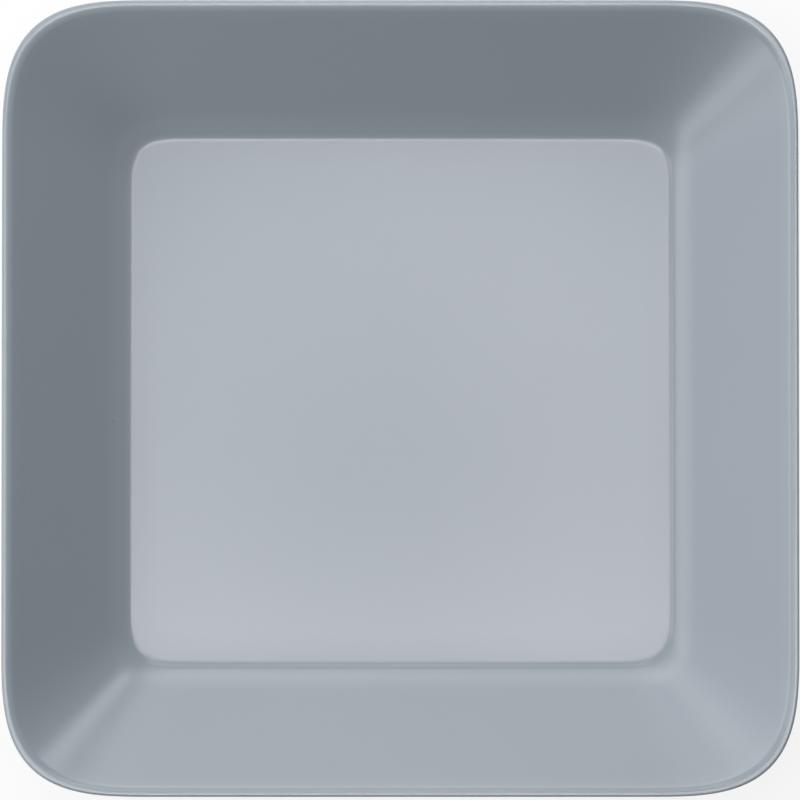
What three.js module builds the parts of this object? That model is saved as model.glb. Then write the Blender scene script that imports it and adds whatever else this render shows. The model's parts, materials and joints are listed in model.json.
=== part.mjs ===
// Square plate: a pressed porcelain body, fired, with a coloured glaze over all of it but the foot.
// Millimetres, +Z up. The origin is on the table, under the middle of the plate.

import * as THREE from "three";
import { mergeGeometries, mergeVertices } from "three/addons/utils/BufferGeometryUtils.js";

// Driving dimensions. Those of the outside are over the glaze, and heights are from the table.
// A corner is the length of side that a rounded corner takes up.
const PLATE_SIDE = 160;
const PLATE_HEIGHT = 26;
const LIP_CORNER = 31;
const LIP_SHOULDER_RADIUS = 3;
const LIP_EDGE_RADIUS = 0.65;
const LIP_WALL_HEIGHT = 0.95;
const LIP_BELLY_RADIUS = 1.5;
const RIM_SWEEP_RADIUS = 20;
const WELL_WIDTH = 108.2;
const WELL_LENGTH = 105;
const WELL_CORNER = 11.5;
const WELL_FILLET_RADIUS = 4.5;
const WELL_FILLET_SLOPE = THREE.MathUtils.degToRad(26);
const FLOOR_THICKNESS = 5.2;
const RECESS_HEIGHT = 2.8;
const RECESS_CORNER = 8;
const RECESS_FILLET_RADIUS = 1;
const FOOT_OUTSET = 0.5;
const FOOT_CORNER = 12;
const FOOT_WIDTH = 3.4;
const FOOT_WALL_HEIGHT = 1.8;
const FOOT_EDGE_RADIUS = 0.5;
const ROOT_FILLET_RADIUS = 2;
const GLAZE_THICKNESS = 0.35;
const GLAZE_STOP_HEIGHT = 0.9;

// Every outline is a square whose corners are quarters of a superellipse with this exponent.
const CORNER_EXPONENT = 3.3;

// Facets
const CORNER_STEPS = 8;
const FILLET_STEPS = 4;
const LIP_STEPS = 4;
const RIM_STEPS = 3;
const EDGE_STEPS = 2;
const STEPS_PER_SIDE = CORNER_STEPS + 1;
const OUTLINE_STEPS = 4 * STEPS_PER_SIDE;

// The way a surface faces, as an angle from straight up towards the outside of the plate
const QUARTER_TURN = Math.PI / 2;
const UP = 0;
const OUT = QUARTER_TURN;
const DOWN = 2 * QUARTER_TURN;
const IN = 3 * QUARTER_TURN;

// The outlines that the others lie between. The foot stands under the edge of the well's floor.
// An inset is how much nearer the middle the front and back of an outline are than its left and right.
const WELL_INSET = (WELL_WIDTH - WELL_LENGTH) / 2;
const LIP = { half: PLATE_SIDE / 2, corner: LIP_CORNER, inset: 0 };
const WELL = { half: WELL_WIDTH / 2, corner: WELL_CORNER, inset: WELL_INSET };
const FOOT = { half: WELL.half + FOOT_OUTSET, corner: FOOT_CORNER, inset: WELL_INSET };
const RECESS = {
  half: FOOT.half - FOOT_WIDTH - 2 * GLAZE_THICKNESS,
  corner: RECESS_CORNER,
  inset: WELL_INSET,
};

const WELL_FLOOR_HEIGHT = RECESS_HEIGHT + FLOOR_THICKNESS;

/** A point of the plate's profile, with the way it faces and the corner and inset of its outline. */
function station(half, height, facing, [inner, outer]) {
  const share = (half - inner.half) / (outer.half - inner.half);
  const corner = THREE.MathUtils.lerp(inner.corner, outer.corner, share);
  const inset = THREE.MathUtils.lerp(inner.inset, outer.inset, share);
  return { half, height, facing, corner, inset };
}

/** The point in the middle of the plate at a height. */
function middle(height, facing) {
  return { half: 0, height, facing, corner: 0, inset: 0 };
}

/** Stations along an arc. A negative radius makes it hollow, with its centre in the air. */
function arc(centre, radius, from, to, steps, outlines) {
  return Array.from({ length: steps + 1 }, (_, step) => {
    const facing = THREE.MathUtils.lerp(from, to, step / steps);
    const half = centre.x + radius * Math.sin(facing);
    return station(half, centre.y + radius * Math.cos(facing), facing, outlines);
  });
}

/** Stations on the straight line between two others, without its ends. */
function straight(from, to, steps, outlines) {
  return Array.from({ length: steps - 1 }, (_, step) => {
    const share = (step + 1) / steps;
    const half = THREE.MathUtils.lerp(from.half, to.half, share);
    return station(half, THREE.MathUtils.lerp(from.height, to.height, share), from.facing, outlines);
  });
}

/** The clay's surface under a station of the glaze's surface. */
function underGlaze({ half, height, facing, corner, inset }) {
  const inwards = GLAZE_THICKNESS * Math.sin(facing);
  return {
    half: half - inwards,
    height: height - GLAZE_THICKNESS * Math.cos(facing),
    facing,
    corner: corner - inwards,
    inset,
  };
}

/** Slope of the straight line that touches two rounds, with one on each side of it. */
function slopeBetween(lower, upper, radii, side) {
  const span = upper.clone().sub(lower);
  return Math.atan2(span.y, span.x) + side * Math.asin(radii / span.length());
}

// The lip's rounds: its edge and shoulder meet on top, and its belly ends at the foot of its upright wall.
const lipEdgeCentre = new THREE.Vector2(LIP.half, PLATE_HEIGHT).subScalar(LIP_EDGE_RADIUS);
const lipShoulderCentre = new THREE.Vector2(lipEdgeCentre.x, PLATE_HEIGHT - LIP_SHOULDER_RADIUS);
const lipBellyCentre = new THREE.Vector2(LIP.half - LIP_BELLY_RADIUS, lipEdgeCentre.y - LIP_WALL_HEIGHT);

// The well's fillet turns up to its own slope, and the wider sweep goes on from there to the rim's.
const wellFilletCentre = new THREE.Vector2(WELL.half, WELL_FLOOR_HEIGHT + WELL_FILLET_RADIUS);
const rimSweepCentre = new THREE.Vector2(0, RIM_SWEEP_RADIUS - WELL_FILLET_RADIUS)
  .rotateAround(new THREE.Vector2(), WELL_FILLET_SLOPE)
  .add(wellFilletCentre);
const rootFilletCentre = new THREE.Vector2(FOOT.half + ROOT_FILLET_RADIUS, FOOT_WALL_HEIGHT);

const rimRadii = RIM_SWEEP_RADIUS + LIP_SHOULDER_RADIUS;
const rimSlope = slopeBetween(rimSweepCentre, lipShoulderCentre, rimRadii, 1);
const undersideRadii = ROOT_FILLET_RADIUS + LIP_BELLY_RADIUS;
const undersideSlope = slopeBetween(rootFilletCentre, lipBellyCentre, undersideRadii, -1);

/** Glaze in the recess under the plate: from the middle of its ceiling to the inside of the foot. */
function baseGlazeProfile() {
  const outlines = [RECESS, FOOT];
  const filletCentre = new THREE.Vector2(RECESS.half, RECESS_HEIGHT).subScalar(RECESS_FILLET_RADIUS);
  return [
    middle(RECESS_HEIGHT, DOWN),
    ...arc(filletCentre, -RECESS_FILLET_RADIUS, DOWN, IN, FILLET_STEPS, outlines),
    station(RECESS.half, GLAZE_STOP_HEIGHT, IN, outlines),
  ];
}

/** Bare clay of the foot: from the edge of the glaze inside it to the edge of the glaze outside. */
function footProfile(insideEdge, outsideEdge) {
  const outlines = [insideEdge, outsideEdge];
  const inside = new THREE.Vector2(insideEdge.half + FOOT_EDGE_RADIUS, FOOT_EDGE_RADIUS);
  const outside = new THREE.Vector2(outsideEdge.half - FOOT_EDGE_RADIUS, FOOT_EDGE_RADIUS);
  return [
    insideEdge,
    ...arc(inside, FOOT_EDGE_RADIUS, IN, DOWN, EDGE_STEPS, outlines),
    ...arc(outside, FOOT_EDGE_RADIUS, DOWN, OUT, EDGE_STEPS, outlines),
    outsideEdge,
  ];
}

/** Glaze on all the rest: up the foot and the underside, round the lip, and down the rim into the well. */
function topGlazeProfile() {
  const under = [FOOT, LIP];
  const over = [WELL, LIP];
  const undersideFacing = DOWN - undersideSlope;
  const root = arc(rootFilletCentre, -ROOT_FILLET_RADIUS, OUT, undersideFacing, FILLET_STEPS, under);
  const belly = arc(lipBellyCentre, LIP_BELLY_RADIUS, undersideFacing, OUT, LIP_STEPS, under);
  const edge = arc(lipEdgeCentre, LIP_EDGE_RADIUS, OUT, UP, EDGE_STEPS, over);
  const shoulder = arc(lipShoulderCentre, LIP_SHOULDER_RADIUS, UP, -rimSlope, LIP_STEPS, over);
  const sweep = arc(rimSweepCentre, -RIM_SWEEP_RADIUS, -rimSlope, -WELL_FILLET_SLOPE, RIM_STEPS, over);
  const fillet = arc(wellFilletCentre, -WELL_FILLET_RADIUS, -WELL_FILLET_SLOPE, UP, FILLET_STEPS, over);
  return [
    station(FOOT.half, GLAZE_STOP_HEIGHT, OUT, under),
    ...root,
    ...straight(root.at(-1), belly[0], RIM_STEPS, under),
    ...belly,
    ...edge.slice(0, -1),
    ...shoulder,
    ...straight(shoulder.at(-1), sweep[0], RIM_STEPS, over),
    ...sweep.slice(0, -1),
    ...fillet,
    middle(WELL_FLOOR_HEIGHT, UP),
  ];
}

/** A point of a station's outline, counted round from the start of the first corner. */
function outlinePoint({ half, corner, inset }, step) {
  const side = Math.floor(step / STEPS_PER_SIDE) % 4;
  const turn = (QUARTER_TURN * (step % STEPS_PER_SIDE)) / CORNER_STEPS;
  const roundness = 2 / CORNER_EXPONENT;
  const shortening = inset ? 1 - inset / half : 1;
  const point = new THREE.Vector2(Math.cos(turn) ** roundness, Math.sin(turn) ** roundness);
  return point
    .multiplyScalar(corner)
    .addScalar(half - corner)
    .rotateAround(new THREE.Vector2(), side * QUARTER_TURN)
    .multiply(new THREE.Vector2(1, shortening));
}

/** The surface that a profile sweeps round the plate: a lathe's, with each round squared to its outline. */
function skin(profile) {
  const points = profile.map(({ half, height }) => new THREE.Vector2(half, height));
  const surface = new THREE.LatheGeometry(points, OUTLINE_STEPS);
  surface.deleteAttribute("normal");
  surface.deleteAttribute("uv");
  const position = surface.getAttribute("position");
  for (let index = 0; index < position.count; index += 1) {
    const place = profile[index % profile.length];
    const { x, y } = outlinePoint(place, Math.floor(index / profile.length));
    position.setXYZ(index, x, y, place.height);
  }
  return surface;
}

/** The same surface, seen from its other side. */
function turnedOver(surface) {
  surface.index.array.reverse();
  return surface;
}

/** A named solid closed by surfaces that meet edge to edge. */
function piece(name, surfaces, material) {
  const geometry = mergeVertices(mergeGeometries(surfaces));
  geometry.computeVertexNormals();
  const mesh = new THREE.Mesh(geometry, material);
  mesh.name = name;
  return mesh;
}

const porcelain = new THREE.MeshStandardMaterial({ color: 0xe4e0d8, roughness: 0.75, metalness: 0 });
const greyGlaze = new THREE.MeshStandardMaterial({ color: 0xa0a8ae, roughness: 0.25, metalness: 0 });

const baseGlaze = baseGlazeProfile();
const topGlaze = topGlazeProfile();
const baseClay = baseGlaze.map(underGlaze);
const topClay = topGlaze.map(underGlaze);
const foot = footProfile(baseClay.at(-1), topClay[0]);

const plate = new THREE.Group();
plate.name = "square_plate";
plate.add(
  piece("porcelain_body", [skin(baseClay), skin(foot), skin(topClay)], porcelain),
  piece("top_glaze", [skin([topClay[0], ...topGlaze]), turnedOver(skin(topClay))], greyGlaze),
  piece("base_glaze", [skin([...baseGlaze, baseClay.at(-1)]), turnedOver(skin(baseClay))], greyGlaze),
);

export default plate;
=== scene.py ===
"""A small square plate of grey-glazed porcelain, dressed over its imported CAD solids."""

import json
import logging
import math
from dataclasses import dataclass, replace
from enum import Enum
from typing import ClassVar

import bmesh
import bpy
from bmesh.types import BMesh
from bpy.types import Light, Material, Node, NodeSocket, NodeTree, Object, World
from mathutils import Matrix, Vector


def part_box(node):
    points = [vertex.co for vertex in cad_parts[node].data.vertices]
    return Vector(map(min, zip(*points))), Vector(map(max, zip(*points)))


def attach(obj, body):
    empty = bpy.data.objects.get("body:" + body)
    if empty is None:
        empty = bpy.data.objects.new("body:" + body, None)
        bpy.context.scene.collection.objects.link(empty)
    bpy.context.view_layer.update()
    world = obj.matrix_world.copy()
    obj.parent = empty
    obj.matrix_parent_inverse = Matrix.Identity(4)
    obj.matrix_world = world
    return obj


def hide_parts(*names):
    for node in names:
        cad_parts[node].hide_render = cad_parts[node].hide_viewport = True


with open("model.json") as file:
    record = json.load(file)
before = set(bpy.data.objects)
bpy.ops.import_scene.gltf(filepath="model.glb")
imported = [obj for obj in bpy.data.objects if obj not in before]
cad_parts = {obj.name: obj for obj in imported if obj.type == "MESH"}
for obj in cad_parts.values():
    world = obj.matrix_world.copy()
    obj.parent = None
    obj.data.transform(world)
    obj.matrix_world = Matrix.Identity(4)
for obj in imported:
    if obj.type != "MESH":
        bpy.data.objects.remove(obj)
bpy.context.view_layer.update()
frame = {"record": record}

LOG = logging.getLogger("square_plate")
MM = 0.001
WHITE = "#FFFFFF"


class Slot(Enum):
    """The record's material slots."""

    PORCELAIN = "porcelain"
    GLAZE = "glaze"


class Facing(float, Enum):
    """The way a surface faces, as an angle from straight up towards the outside of the plate."""

    UP = 0.0
    OUT = math.pi / 2
    DOWN = math.pi
    IN = 1.5 * math.pi


def linear(colour: str) -> tuple[float, float, float, float]:
    """Turns a written colour into the linear one that shaders and lamps take.

    Args:
        colour: An sRGB colour, as # and six hex digits.

    Returns:
        Linear red, green and blue, and an alpha of 1.
    """
    levels = [int(colour[place:place + 2], 16) / 255 for place in (1, 3, 5)]
    red, green, blue = [
        level / 12.92 if level <= 0.04045 else ((level + 0.055) / 1.055) ** 2.4 for level in levels
    ]
    return red, green, blue, 1.0


def blank_tree(owner: Material | Light | World) -> NodeTree:
    """Gives a material, a lamp or the world an empty node tree.

    Args:
        owner: The material, lamp or world.

    Returns:
        The tree.
    """
    owner.use_nodes = True
    owner.node_tree.nodes.clear()
    return owner.node_tree


def add_node(tree: NodeTree, kind: str, inputs: dict[str | int, object], **settings: object) -> Node:
    """Adds a node to a tree.

    Args:
        tree: The tree.
        kind: The node's type, without the ShaderNode that all of them start with.
        inputs: What goes into each input, by its name or its number: a value, another node's output, or
            another node, which stands for its first output that is in use.
        settings: The node's own properties.

    Returns:
        The node.
    """
    node = tree.nodes.new(f"ShaderNode{kind}")
    for name, value in settings.items():
        setattr(node, name, value)
    sockets = [socket for socket in node.inputs if socket.enabled]
    for key, value in inputs.items():
        number = key if isinstance(key, int) else [socket.name for socket in sockets].index(key)
        if isinstance(value, Node):
            value = next(output for output in value.outputs if output.enabled)
        if isinstance(value, NodeSocket):
            tree.links.new(value, sockets[number])
        else:
            sockets[number].default_value = value
    return node


def background_rays(tree: NodeTree) -> Node:
    """Adds the test for the rays that show the background: those of the camera, of gloss and of glass.

    Args:
        tree: The tree.

    Returns:
        A node that gives 1 for such a ray and 0 for others.
    """
    path = add_node(tree, "LightPath", {})
    camera, gloss, glass = [path.outputs[f"Is {ray} Ray"] for ray in ("Camera", "Glossy", "Transmission")]
    seen = add_node(tree, "Math", {0: camera, 1: gloss}, operation="ADD")
    return add_node(tree, "Math", {0: seen, 1: glass}, operation="ADD", use_clamp=True)


@dataclass(frozen=True)
class Bend:
    """A round stretch of the plate's cross-section.

    Attributes:
        half: Distance of its centre from the plate's axis.
        height: Height of its centre.
        radius: Its radius, negative where the surface is hollow.
        start: The way the surface faces where the stretch starts.
        end: The way it faces where the stretch ends.
        steps: Number of facets along it.
    """

    half: float
    height: float
    radius: float
    start: float
    end: float
    steps: int

    def under(self, depth: float) -> "Bend":
        """The same stretch of the surface that lies at a depth under this one."""
        return replace(self, radius=self.radius - depth)

    def turned(self) -> "Bend":
        """The same stretch, drawn from its other end."""
        return replace(self, start=self.end, end=self.start)

    def start_point(self) -> Vector:
        """Where the stretch starts, in the plane in which the section is drawn."""
        away = Vector((math.sin(self.start), 0, math.cos(self.start)))
        return Vector((self.half, 0, self.height)) + self.radius * away


class ProfilePen:
    """Draws a cross-section as a wire, in the XZ plane."""

    STRAIGHT_STEPS: ClassVar[int] = 10

    def __init__(self, height: float) -> None:
        """Starts a wire on the plate's axis."""
        self.bm = bmesh.new()
        self.tip = bmesh.ops.create_vert(self.bm, co=(0, 0, height))["vert"][0]

    def line_to(self, end: Vector) -> None:
        """Draws a straight stretch.

        Args:
            end: The point where it ends.
        """
        step = (end - self.tip.co) / self.STRAIGHT_STEPS
        for _ in range(self.STRAIGHT_STEPS):
            drawn = bmesh.ops.extrude_vert_indiv(self.bm, verts=[self.tip])
            self.tip = drawn["verts"][0]
            bmesh.ops.translate(self.bm, verts=[self.tip], vec=step)

    def follow(self, bends: list[Bend]) -> None:
        """Draws round stretches, with a straight one up to each.

        Args:
            bends: The round stretches, in order.
        """
        for bend in bends:
            self.line_to(bend.start_point())
            drawn = bmesh.ops.spin(
                self.bm,
                geom=[self.tip],
                cent=(bend.half, 0, bend.height),
                axis=(0, 1, 0),
                angle=bend.end - bend.start,
                steps=bend.steps,
            )
            self.tip = drawn["geom_last"][0]


@dataclass(frozen=True)
class PlateForm:
    """The form that the plate was pressed to, over its glaze.

    Sizes are in metres, heights are from the table and slopes are in degrees. A half is half the side of a
    square outline, and a corner is the length of side that its rounded corner takes up. The well and the foot
    are a little shorter from front to back than from left to right, by the inset at each end. Steps are the
    facets along a bend. The pool's place is out and up from the edge of the well's floor, in radii of the
    fillet, and its reach is how far it takes to fade out.
    """

    FILLET_STEPS: ClassVar[int] = 10
    SWEEP_STEPS: ClassVar[int] = 6
    SHOULDER_STEPS: ClassVar[int] = 14
    EDGE_STEPS: ClassVar[int] = 12
    BELLY_STEPS: ClassVar[int] = 10
    ROOT_STEPS: ClassVar[int] = 8
    RECESS_STEPS: ClassVar[int] = 8
    FOOT_STEPS: ClassVar[int] = 6
    GLAZE_EDGE_STEPS: ClassVar[int] = 5
    POOL_PLACE: ClassVar[tuple[float, float]] = (0.2, 0.04)
    POOL_REACH: ClassVar[float] = 3 * MM

    lip_half: float
    lip_height: float
    floor_height: float
    recess_half: float
    recess_height: float
    glaze_depth: float
    glaze_stop: float
    lip_edge: float = 0.4 * MM
    lip_shoulder: float = 3 * MM
    lip_belly: float = 1.5 * MM
    lip_wall: float = 1.2 * MM
    lip_corner: float = 31 * MM
    well_half: float = 54.1 * MM
    well_corner: float = 11.5 * MM
    well_inset: float = 1.6 * MM
    well_fillet: float = 4.5 * MM
    fillet_slope: float = 26
    rim_sweep: float = 20 * MM
    recess_corner: float = 8 * MM
    recess_fillet: float = 1 * MM
    foot_outset: float = 0.5 * MM
    foot_wall_height: float = 1.8 * MM
    foot_edge: float = 0.5 * MM
    root_fillet: float = 2 * MM
    corner_exponent: float = 3.3

    @classmethod
    def of_solids(cls) -> "PlateForm":
        """Takes the form's main sizes from the CAD solids and the record's mounts.

        Returns:
            The form.
        """
        glaze_low, glaze_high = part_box("top_glaze")
        _, body_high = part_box("porcelain_body")
        _, base_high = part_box("base_glaze")
        depth = glaze_high.x - body_high.x
        mounts = {mount["name"]: mount["pos_m"] for mount in frame["record"]["mounts"]}
        return cls(
            lip_half=glaze_high.x,
            lip_height=glaze_high.z,
            floor_height=mounts["well_floor"][2],
            recess_half=base_high.x - depth,
            recess_height=base_high.z - depth,
            glaze_depth=depth,
            glaze_stop=glaze_low.z,
        )

    @property
    def foot_half(self) -> float:
        """Half the side of the foot, over the glaze on its outside."""
        return self.well_half + self.foot_outset

    @property
    def crest(self) -> Vector:
        """The highest point of the lip, as its distance from the axis and its height."""
        return Vector((self.lip_half - self.lip_edge, self.lip_height))

    def top_bends(self) -> list[Bend]:
        """Works out the upper side, from the well's floor over the lip to the foot under the rim.

        Returns:
            Its bends.
        """
        down = Vector((0, -1))
        turn = math.radians(self.fillet_slope)
        fillet = Vector((self.well_half, self.floor_height + self.well_fillet))
        sweep = fillet + (self.rim_sweep - self.well_fillet) * Vector((-math.sin(turn), math.cos(turn)))
        shoulder = self.crest + self.lip_shoulder * down
        edge = self.crest + self.lip_edge * down
        belly = Vector((self.lip_half - self.lip_belly, edge.y - self.lip_wall))
        root = Vector((self.foot_half + self.root_fillet, self.foot_wall_height))
        rim_facing = -tangent_slope(sweep, shoulder, self.rim_sweep + self.lip_shoulder)
        under_facing = Facing.DOWN - tangent_slope(root, belly, -self.root_fillet - self.lip_belly)
        return [
            Bend(*fillet, -self.well_fillet, Facing.UP, -turn, self.FILLET_STEPS),
            Bend(*sweep, -self.rim_sweep, -turn, rim_facing, self.SWEEP_STEPS),
            Bend(*shoulder, self.lip_shoulder, rim_facing, Facing.UP, self.SHOULDER_STEPS),
            Bend(*edge, self.lip_edge, Facing.UP, Facing.OUT, self.EDGE_STEPS),
            Bend(*belly, self.lip_belly, Facing.OUT, under_facing, self.BELLY_STEPS),
            Bend(*root, -self.root_fillet, under_facing, Facing.OUT, self.ROOT_STEPS),
        ]

    def base_bends(self) -> list[Bend]:
        """Works out the recess, from its ceiling to the inside of the foot.

        Returns:
            Its only bend.
        """
        radius = self.recess_fillet
        centre = (self.recess_half - radius, self.recess_height - radius)
        return [Bend(*centre, -radius, Facing.DOWN, Facing.IN, self.RECESS_STEPS)]

    def foot_bends(self) -> list[Bend]:
        """Works out the edges of the bare foot, from its outside to its inside.

        Returns:
            Its bends.
        """
        outside = self.foot_half - self.glaze_depth - self.foot_edge
        inside = self.recess_half + self.glaze_depth + self.foot_edge
        return [
            Bend(outside, self.foot_edge, self.foot_edge, Facing.OUT, Facing.DOWN, self.FOOT_STEPS),
            Bend(inside, self.foot_edge, self.foot_edge, Facing.DOWN, Facing.IN, self.FOOT_STEPS),
        ]

    def glaze_edge(self, clay_half: float, facing: Facing) -> Bend:
        """The rounded edge with which the glaze ends on a wall of the foot.

        Args:
            clay_half: Distance of the wall's clay from the plate's axis.
            facing: The way the wall faces.

        Returns:
            The stretch from the glaze's surface to the clay.
        """
        height = self.glaze_stop + self.glaze_depth
        return Bend(clay_half, height, self.glaze_depth, facing, Facing.DOWN, self.GLAZE_EDGE_STEPS)

    def outline_at(self, half: float) -> tuple[float, float]:
        """The square outline with a given half.

        Args:
            half: Half its side from left to right.

        Returns:
            Its corner, and its inset at the front and back.
        """
        recess = Vector((self.recess_half, self.recess_corner, self.well_inset))
        well = Vector((self.well_half, self.well_corner, self.well_inset))
        lip = Vector((self.lip_half, self.lip_corner, 0))
        if half < recess.x:
            _, corner, inset = recess * half / recess.x
        elif half < well.x:
            _, corner, inset = recess.lerp(well, (half - recess.x) / (well.x - recess.x))
        else:
            _, corner, inset = well.lerp(lip, (half - well.x) / (lip.x - well.x))
        return corner, inset

    def pooling_at(self, half: float, height: float) -> float:
        """Works out how thick the glaze lay in the kiln.

        Args:
            half: Distance from the plate's axis.
            height: Height above the table.

        Returns:
            0 where it ran off the lip, 1 where it ran into the fillet, and a half elsewhere.
        """
        place = Vector((half, height))
        pool = Vector((self.well_half, self.floor_height)) + self.well_fillet * Vector(self.POOL_PLACE)
        off_lip = max(0.0, 1 - (place - self.crest).length / self.POOL_REACH)
        into_fillet = max(0.0, 1 - (place - pool).length / self.POOL_REACH)
        return (1 + into_fillet - off_lip) / 2


def tangent_slope(lower: Vector, upper: Vector, radii: float) -> float:
    """Slope of the straight line that touches two rounds, with one on each side of it.

    Args:
        lower: Centre of the lower round.
        upper: Centre of the upper round.
        radii: Sum of their radii, negative where the line passes above the lower round.

    Returns:
        The slope, as an angle.
    """
    span = upper - lower
    return math.atan2(span.y, span.x) + math.asin(radii / span.length)


@dataclass(frozen=True)
class Pit:
    """A tiny pit that a bubble left in the glaze as it was fired.

    Attributes:
        place: Where it is, in metres.
        radius: How far from its middle it fades out.
        depth: How deep it is.
        shade: How much of the dirt's colour shows in it, from 0 to 1.
    """

    place: tuple[float, float, float]
    radius: float
    depth: float
    shade: float


@dataclass(frozen=True)
class GlazeFinish:
    """Glossy feldspar glaze, sprayed on and fired, coloured a cool grey.

    The fired coat is a thin layer of glass. It mirrors softly, and is paler where it ran off the lip and
    deeper where it pooled in the fillet. Its thickness drifts a little, which gives faint clouds, its surface
    has a very fine orange peel, and two bubbles left tiny pits.
    """

    name: str = "grey_feldspar_glaze_fired_glossy"
    thin_colour: str = "#8D97A0"
    deep_colour: str = "#848D95"
    dirt_colour: str = "#4A4C4E"
    roughness: float = 0.2
    ior: float = 1.5
    cloud_size: float = 18 * MM
    cloud_share: float = 0.2
    cloud_detail: float = 4.0
    peel_size: float = 1.6 * MM
    peel_detail: float = 1.0
    peel_depth: float = 0.002 * MM
    pits: tuple[Pit, ...] = (
        Pit((-4.7 * MM, -16.5 * MM, 8 * MM), 0.55 * MM, 0.035 * MM, 0.0),
        Pit((-58.1 * MM, -4.2 * MM, 9.6 * MM), 0.5 * MM, 0.01 * MM, 0.25),
    )

    def material(self) -> Material:
        """Makes the material.

        Returns:
            The material.
        """
        material = bpy.data.materials.new(self.name)
        tree = blank_tree(material)
        place = add_node(tree, "TexCoord", {}).outputs["Object"]
        pooling = add_node(tree, "Attribute", {}, attribute_name=GlazeCoat.POOLING).outputs["Fac"]
        cloud_noise = {"Vector": place, "Scale": 1 / self.cloud_size, "Detail": self.cloud_detail}
        clouds = add_node(tree, "TexNoise", cloud_noise)
        drift = {0: clouds, 1: self.cloud_share, 2: pooling}
        thickness = add_node(tree, "Math", drift, operation="MULTIPLY_ADD")
        ends = {"A": linear(self.thin_colour), "B": linear(self.deep_colour)}
        colour = add_node(tree, "Mix", {"Factor": thickness, **ends}, data_type="RGBA")
        peel_noise = {"Vector": place, "Scale": 1 / self.peel_size, "Detail": self.peel_detail}
        peel = add_node(tree, "TexNoise", peel_noise)
        height = add_node(tree, "Math", {0: peel, 1: self.peel_depth}, operation="MULTIPLY")
        for pit in self.pits:
            away = add_node(tree, "VectorMath", {0: place, 1: pit.place}, operation="DISTANCE")
            fade = {"Value": away, "From Max": pit.radius, "To Min": 1.0, "To Max": 0.0}
            hollow = add_node(tree, "MapRange", fade, interpolation_type="SMOOTHSTEP")
            height = add_node(tree, "Math", {0: hollow, 1: -pit.depth, 2: height}, operation="MULTIPLY_ADD")
            dirt = add_node(tree, "Math", {0: hollow, 1: pit.shade}, operation="MULTIPLY")
            soiled = {"Factor": dirt, "A": colour, "B": linear(self.dirt_colour)}
            colour = add_node(tree, "Mix", soiled, data_type="RGBA")
        # The heights are already in metres.
        bump = add_node(tree, "Bump", {"Height": height, "Distance": 1.0})
        surface = {"Base Color": colour, "Roughness": self.roughness, "IOR": self.ior, "Normal": bump}
        shader = add_node(tree, "BsdfPrincipled", surface)
        add_node(tree, "OutputMaterial", {"Surface": shader})
        return material


@dataclass(frozen=True)
class BareClayFinish:
    """Bare fired porcelain, sponged smooth.

    It is off-white, matt and very finely grained, with no gloss of its own. The grain is drawn coarser than
    the real one, which is too fine to show.
    """

    name: str = "bare_porcelain_fired_matt"
    pale_colour: str = "#E8E4DC"
    deep_colour: str = "#DDD7CC"
    roughness: float = 0.7
    grain_size: float = 0.3 * MM
    grain_detail: float = 3.0
    grain_depth: float = 0.01 * MM

    def material(self) -> Material:
        """Makes the material.

        Returns:
            The material.
        """
        material = bpy.data.materials.new(self.name)
        tree = blank_tree(material)
        place = add_node(tree, "TexCoord", {}).outputs["Object"]
        grain_noise = {"Vector": place, "Scale": 1 / self.grain_size, "Detail": self.grain_detail}
        grain = add_node(tree, "TexNoise", grain_noise)
        ends = {"A": linear(self.pale_colour), "B": linear(self.deep_colour)}
        colour = add_node(tree, "Mix", {"Factor": grain, **ends}, data_type="RGBA")
        bump = add_node(tree, "Bump", {"Height": grain, "Distance": self.grain_depth})
        surface = {"Base Color": colour, "Roughness": self.roughness, "Normal": bump}
        shader = add_node(tree, "BsdfPrincipled", surface)
        add_node(tree, "OutputMaterial", {"Surface": shader})
        return material


@dataclass(frozen=True)
class PaperFinish:
    """White backdrop paper.

    It is matt. Most of what is seen of it is plain white, and the rest keeps the plate's soft shadow.
    """

    name: str = "white_backdrop_paper_matt"
    colour: str = "#F4F4F4"
    whiteness: float = 0.85

    def material(self) -> Material:
        """Makes the material.

        Returns:
            The material.
        """
        material = bpy.data.materials.new(self.name)
        tree = blank_tree(material)
        seen = {0: background_rays(tree), 1: self.whiteness}
        share = add_node(tree, "Math", seen, operation="MULTIPLY")
        matt = add_node(tree, "BsdfDiffuse", {"Color": linear(self.colour)})
        white = add_node(tree, "Emission", {"Color": linear(WHITE), "Strength": 1.0})
        mixed = add_node(tree, "MixShader", {0: share, 1: matt, 2: white})
        add_node(tree, "OutputMaterial", {"Surface": mixed})
        return material


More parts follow.
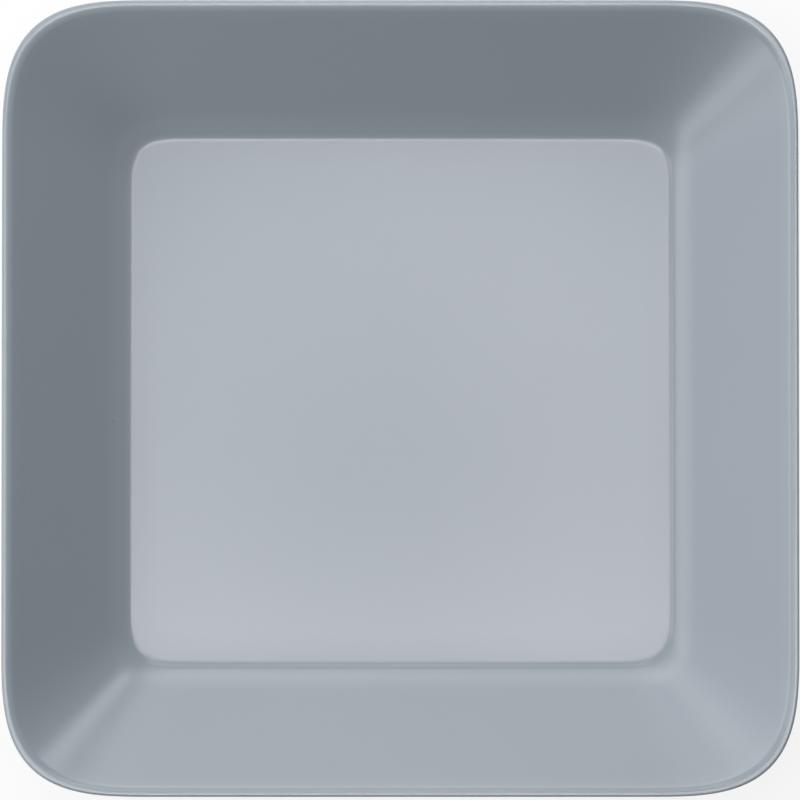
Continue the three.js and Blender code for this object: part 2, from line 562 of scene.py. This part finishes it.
@dataclass
class PlatePiece:
    """A piece of the plate, turned about its axis and then squared.

    Attributes:
        form: The plate's form.
        finish: The piece's finish.
        corner_steps: Facets along each rounded corner.
        side_steps: Facets along the straight stretch of each side.
    """

    NODE: ClassVar[str]
    SLOT: ClassVar[Slot]
    MERGE_DISTANCE: ClassVar[float] = 0.001 * MM

    form: PlateForm
    finish: Material
    corner_steps: int = 36
    side_steps: int = 12

    def section(self) -> ProfilePen:
        """Draws the piece's cross-section, from the plate's axis back to it.

        Returns:
            The pen that drew it.
        """
        raise NotImplementedError

    def squared(self, place: Vector) -> Vector:
        """Moves a point of the turned shape out to the square outline that is as wide.

        Args:
            place: The point.

        Returns:
            Its new X and Y.
        """
        half = place.xy.length
        corner, inset = self.form.outline_at(half)
        straight = half - corner
        quarter_steps = self.corner_steps + self.side_steps
        quarters = math.atan2(place.y, place.x) / (math.pi / 2)
        quarter = math.floor(quarters)
        step = (quarters - quarter) * quarter_steps
        if step < self.corner_steps:
            turn = step / self.corner_steps * math.pi / 2
            roundness = 2 / self.form.corner_exponent
            point = Vector((straight, straight))
            point += corner * Vector((abs(math.cos(turn)) ** roundness, abs(math.sin(turn)) ** roundness))
        else:
            share = (step - self.corner_steps) / self.side_steps
            point = Vector((straight * (1 - 2 * share), half))
        point.rotate(Matrix.Rotation(quarter * math.pi / 2, 2))
        # On the axis the half is 0, so a millimetre stands in for it.
        point.y *= 1 - inset / max(half, MM)
        return point

    def build(self) -> Object:
        """Makes the piece's mesh.

        Returns:
            The piece.
        """
        bm = self.section().bm
        bmesh.ops.spin(
            bm,
            geom=bm.verts[:] + bm.edges[:],
            cent=(0, 0, 0),
            axis=(0, 0, 1),
            angle=2 * math.pi,
            steps=4 * (self.corner_steps + self.side_steps),
            use_merge=True,
        )
        bmesh.ops.remove_doubles(bm, verts=bm.verts, dist=self.MERGE_DISTANCE)
        self.mark(bm)
        for vert in bm.verts:
            vert.co.xy = self.squared(vert.co)
        bmesh.ops.recalc_face_normals(bm, faces=bm.faces)
        for face in bm.faces:
            face.smooth = True
        mesh = bpy.data.meshes.new(self.NODE)
        bm.to_mesh(mesh)
        bm.free()
        piece = bpy.data.objects.new(f"dressed_{self.NODE}", mesh)
        bpy.context.scene.collection.objects.link(piece)
        return piece

    def mark(self, bm: BMesh) -> None:
        """Marks the turned shape for its finish, before it is squared. Here it marks nothing, and a coat of
        glaze marks how thick it lay.
        """

    def dress(self, piece: Object) -> None:
        """Gives the piece its finish and its place in the frame.

        Args:
            piece: The piece.
        """
        piece.data.materials.append(self.finish)
        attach(piece, "root")
        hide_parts(self.NODE)


class PorcelainBody(PlatePiece):
    """The pressed body under the glaze, bare at the foot."""

    NODE = "porcelain_body"
    SLOT = Slot.PORCELAIN

    def section(self) -> ProfilePen:
        """Draws the body's section: the upper side, the foot and the recess.

        Returns:
            The pen that drew it.
        """
        depth = self.form.glaze_depth
        pen = ProfilePen(self.form.floor_height - depth)
        pen.follow([bend.under(depth) for bend in self.form.top_bends()])
        pen.follow(self.form.foot_bends())
        pen.follow([bend.under(depth).turned() for bend in reversed(self.form.base_bends())])
        pen.line_to(Vector((0, 0, self.form.recess_height + depth)))
        return pen


class GlazeCoat(PlatePiece):
    """A coat of glaze on the body."""

    SLOT = Slot.GLAZE
    POOLING: ClassVar[str] = "pooling"

    def mark(self, bm: BMesh) -> None:
        """Marks how thick the glaze lay at each point.

        Args:
            bm: The turned shape.
        """
        pooling = bm.verts.layers.float.new(self.POOLING)
        for vert in bm.verts:
            vert[pooling] = self.form.pooling_at(vert.co.xy.length, vert.co.z)

    def coat(self, bends: list[Bend], edge: Bend, floor: float, depth: float) -> ProfilePen:
        """Draws a coat's section: out along its surface, round its edge and back along the clay.

        Args:
            bends: The bends of its surface.
            edge: Its rounded edge.
            floor: Height of its surface in the middle.
            depth: Its depth, negative where the clay lies above it.

        Returns:
            The pen that drew it.
        """
        pen = ProfilePen(floor)
        pen.follow([*bends, edge])
        pen.follow([bend.under(self.form.glaze_depth).turned() for bend in reversed(bends)])
        pen.line_to(Vector((0, 0, floor - depth)))
        return pen


class TopGlaze(GlazeCoat):
    """The coat over the well, the rim, the lip, the underside and the outside of the foot."""

    NODE = "top_glaze"

    def section(self) -> ProfilePen:
        """Draws the coat from the well to the foot and back.

        Returns:
            The pen that drew it.
        """
        form = self.form
        edge = form.glaze_edge(form.foot_half - form.glaze_depth, Facing.OUT)
        return self.coat(form.top_bends(), edge, form.floor_height, form.glaze_depth)


class BaseGlaze(GlazeCoat):
    """The coat in the recess inside the foot."""

    NODE = "base_glaze"

    def section(self) -> ProfilePen:
        """Draws the coat from the recess's ceiling to the foot and back.

        Returns:
            The pen that drew it.
        """
        form = self.form
        edge = form.glaze_edge(form.recess_half + form.glaze_depth, Facing.IN)
        return self.coat(form.base_bends(), edge, form.recess_height, -form.glaze_depth)


def heading(azimuth: float, elevation: float) -> Vector:
    """Finds the direction from the plate to a lamp or the camera.

    Args:
        azimuth: The angle from the plate's right, by way of its back, in degrees.
        elevation: The angle above the floor, in degrees.

    Returns:
        The direction.
    """
    around = math.radians(azimuth)
    above = math.radians(elevation)
    return Vector((math.cos(around) * math.cos(above), math.sin(around) * math.cos(above), math.sin(above)))


@dataclass(frozen=True)
class SoftLamp:
    """A panel of light that is brightest in the middle and fades out towards its edge.

    Attributes:
        name: Its name.
        azimuth: Where it stands, in degrees from the plate's right, by way of its back.
        elevation: How high it stands, in degrees.
        spread: Angle from its middle to its edge, seen from the plate, in degrees.
        power: Its power in watts, before it fades.
        distance: Its distance from the plate, in metres.
    """

    name: str
    azimuth: float
    elevation: float
    spread: float
    power: float
    distance: float = 1.2

    def place(self) -> Object:
        """Puts the lamp in the studio, facing the plate.

        Returns:
            The lamp.
        """
        light = bpy.data.lights.new(self.name, "AREA")
        light.shape = "SQUARE"
        light.size = 2 * self.distance * math.tan(math.radians(self.spread))
        light.energy = self.power
        tree = blank_tree(light)
        # Places on the panel run from 0 to 1 each way, so its middle is at a half.
        spot = add_node(tree, "NewGeometry", {}).outputs["Parametric"]
        away = add_node(tree, "VectorMath", {0: spot, 1: (0.5, 0.5, 0)}, operation="DISTANCE")
        fade = {"Value": away, "From Max": 0.5, "To Min": 1.0, "To Max": 0.0}
        glow = add_node(tree, "MapRange", fade, interpolation_type="SMOOTHSTEP")
        shine = add_node(tree, "Emission", {"Color": linear(WHITE), "Strength": glow})
        add_node(tree, "OutputLight", {"Surface": shine})
        lamp = bpy.data.objects.new(self.name, light)
        towards = heading(self.azimuth, self.elevation)
        lamp.location = self.distance * towards
        lamp.rotation_euler = towards.to_track_quat("Z", "Y").to_euler()
        bpy.context.scene.collection.objects.link(lamp)
        return lamp


@dataclass
class Studio:
    """The floor, the lamps, the white surroundings and the camera.

    Attributes:
        form: The plate's form.
        floor_half: Half the side of the floor, in metres.
        fill: Strength of the light from all round.
        camera_distance: From the plate's lip to the camera, in metres.
        camera_azimuth: Where the camera stands, in degrees as for a lamp.
        camera_elevation: How high it stands, in degrees.
        camera_aim: The point of the lip's plane that it looks at, in metres.
        frame_width: Width of what it sees there, in metres.
        sensor_width: Width of its sensor, in millimetres.
        floor_drop: How far the floor lies under the foot, so that the two don't share a plane, in metres.
        lamps: The lamps, which together make one large soft light from behind, from the left and from above.
    """

    form: PlateForm
    floor_half: float = 1.1
    fill: float = 0.01
    camera_distance: float = 1.5
    camera_azimuth: float = 270
    camera_elevation: float = 88
    camera_aim: tuple[float, float] = (-0.06 * MM, -0.45 * MM)
    frame_width: float = 160.52 * MM
    sensor_width: float = 36.0
    floor_drop: float = 0.02 * MM
    lamps: tuple[SoftLamp, ...] = (
        # Broad panels behind the plate and to its left.
        SoftLamp("back", 90, 36, 25, 13.8),
        SoftLamp("back_left", 120, 36, 25, 13.8),
        SoftLamp("left_back", 150, 36, 25, 10.5),
        SoftLamp("left", 180, 36, 25, 12.8),
        # Low panels, for the rims that face them.
        SoftLamp("low_back", 90, 6, 25, 8.3),
        SoftLamp("low_left", 180, 6, 25, 5.4),
        # Narrower panels beside the broad ones, for the bright fans in two corners of the rim.
        SoftLamp("back_right_edge", 56, 28, 17, 6.5),
        SoftLamp("front_left_edge", 210, 30, 18, 6),
        SoftLamp("front_left_wrap", 228, 24, 14, 3),
        # High panels, which the well's fillets mirror.
        SoftLamp("high_back", 90, 67, 11, 2.4, 1.0),
        SoftLamp("high_back_left", 135, 67, 11, 1.1, 1.0),
        SoftLamp("high_left", 180, 67, 11, 2.4, 1.0),
        SoftLamp("front_streak", 270, 83, 6, 1.5, 1.0),
        SoftLamp("front_left_streak", 225, 79, 6, 1.6, 1.0),
        # Small panels overhead, which the well's floor mirrors.
        SoftLamp("overhead_right", 0, 84, 5, 0.5, 1.0),
        SoftLamp("overhead_back_right", 45, 84, 5, 0.95, 1.0),
        SoftLamp("overhead_back", 90, 83, 6, 0.9, 1.0),
        SoftLamp("overhead_back_left", 135, 84, 5, 0.7, 1.0),
        SoftLamp("overhead_left", 180, 82, 6, 0.9, 1.0),
        SoftLamp("overhead_front_left", 225, 84, 5, 0.9, 1.0),
        SoftLamp("overhead_front_right", 315, 84, 5, 1.35, 1.0),
    )

    def build_floor(self) -> Object:
        """Lays the white paper under the plate.

        Returns:
            The floor.
        """
        bm = bmesh.new()
        bmesh.ops.create_grid(bm, x_segments=1, y_segments=1, size=self.floor_half)
        bmesh.ops.translate(bm, verts=bm.verts, vec=(0, 0, -self.floor_drop))
        mesh = bpy.data.meshes.new("floor")
        bm.to_mesh(mesh)
        bm.free()
        floor = bpy.data.objects.new("floor", mesh)
        bpy.context.scene.collection.objects.link(floor)
        floor.data.materials.append(PaperFinish().material())
        return floor

    def build_world(self) -> None:
        """Makes the surroundings, which are seen as white and light the plate a little from all round."""
        world = bpy.data.worlds.new("studio")
        tree = blank_tree(world)
        levels = {"Value": background_rays(tree), "To Min": self.fill, "To Max": 1.0}
        strength = add_node(tree, "MapRange", levels)
        air = add_node(tree, "Background", {"Color": linear(WHITE), "Strength": strength})
        add_node(tree, "OutputWorld", {"Surface": air})
        bpy.context.scene.world = world

    def build_camera(self) -> Object:
        """Puts the camera nearly straight above the plate.

        Returns:
            The camera.
        """
        data = bpy.data.cameras.new("camera")
        data.sensor_width = self.sensor_width
        data.lens = self.sensor_width * self.camera_distance / self.frame_width
        camera = bpy.data.objects.new("camera", data)
        away = heading(self.camera_azimuth, self.camera_elevation)
        camera.location = Vector((*self.camera_aim, self.form.lip_height)) + self.camera_distance * away
        camera.rotation_euler = away.to_track_quat("Z", "Y").to_euler()
        bpy.context.scene.collection.objects.link(camera)
        bpy.context.scene.camera = camera
        return camera

    def build(self) -> None:
        """Sets up the whole studio."""
        bpy.context.scene.view_settings.view_transform = "Standard"
        self.build_floor()
        self.build_world()
        self.build_camera()
        for lamp in self.lamps:
            lamp.place()


def main() -> None:
    """Builds the plate's pieces and its studio."""
    logging.basicConfig(level=logging.INFO, format="%(name)s: %(message)s")
    form = PlateForm.of_solids()
    clay = BareClayFinish().material()
    glaze = GlazeFinish().material()
    for plate_piece in (PorcelainBody(form, clay), TopGlaze(form, glaze), BaseGlaze(form, glaze)):
        piece = plate_piece.build()
        plate_piece.dress(piece)
        LOG.info("%s: %d faces", piece.name, len(piece.data.polygons))
    Studio(form).build()


if __name__ == "__main__":
    main()
